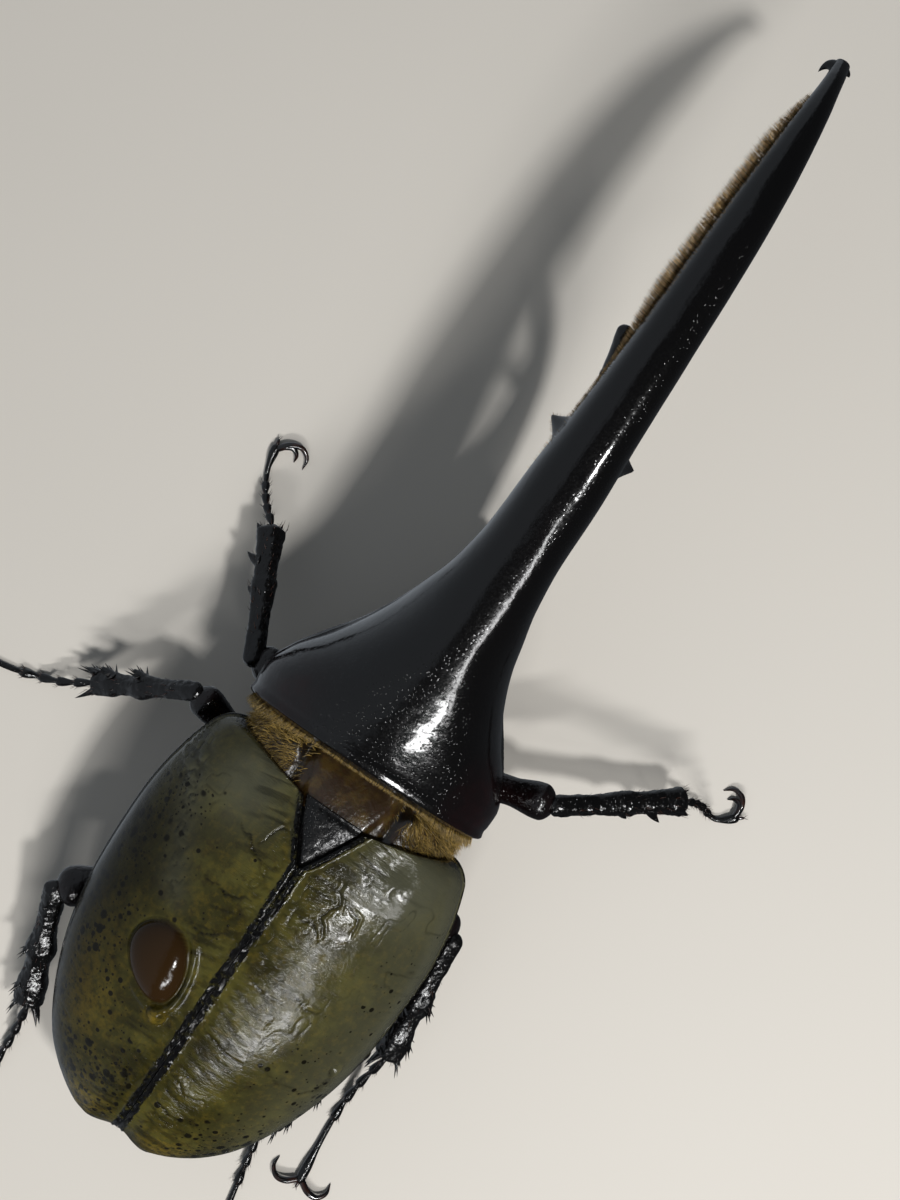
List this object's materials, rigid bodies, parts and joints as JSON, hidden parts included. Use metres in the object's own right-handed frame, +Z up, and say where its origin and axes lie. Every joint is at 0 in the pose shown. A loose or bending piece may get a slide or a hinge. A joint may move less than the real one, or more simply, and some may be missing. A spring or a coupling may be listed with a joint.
{
  "type": "hercules beetle",
  "caption": "Adult male hercules beetle standing, with a long curved thoracic horn, a toothed horn on the head and spotted olive wing cases.",
  "frame": {"origin": "middle of the whole bounding box at floor level", "axes": "+Z up from the floor, head and horns towards -Y, +X the beetle's left side"},
  "size_m": [0.1136, 0.1998, 0.046],
  "materials": {
    "horn_black": "polished black cuticle",
    "leg_black": "glossy black cuticle",
    "wing_case_olive": "glossy olive green wing case with dark spots",
    "collar_amber": "glossy amber brown cuticle with golden hair",
    "belly_brown": "dark red-brown cuticle",
    "eye_black": "very glossy black eye"
  },
  "bodies": {
    "root": {"wing_case_left": "wing_case_olive", "wing_case_right": "wing_case_olive", "scutellum": "leg_black", "mesothorax": "collar_amber", "metathorax": "belly_brown", "abdomen": "belly_brown", "pronotum": "horn_black", "thoracic_horn": "horn_black", "head": "leg_black", "cephalic_horn": "horn_black", "eye_left": "eye_black", "eye_right": "eye_black", "antenna_left": "leg_black", "antenna_right": "leg_black", "mandible_left": "leg_black", "mandible_right": "leg_black", "fore_left_femur": "leg_black", "fore_left_tibia": "leg_black", "fore_left_tarsus": "leg_black", "fore_right_femur": "leg_black", "fore_right_tibia": "leg_black", "fore_right_tarsus": "leg_black", "mid_left_femur": "leg_black", "mid_left_tibia": "leg_black", "mid_left_tarsus": "leg_black", "mid_right_femur": "leg_black", "mid_right_tibia": "leg_black", "mid_right_tarsus": "leg_black", "hind_left_femur": "leg_black", "hind_left_tibia": "leg_black", "hind_left_tarsus": "leg_black", "hind_right_femur": "leg_black", "hind_right_tibia": "leg_black", "hind_right_tarsus": "leg_black"}
  },
  "joints": []
}
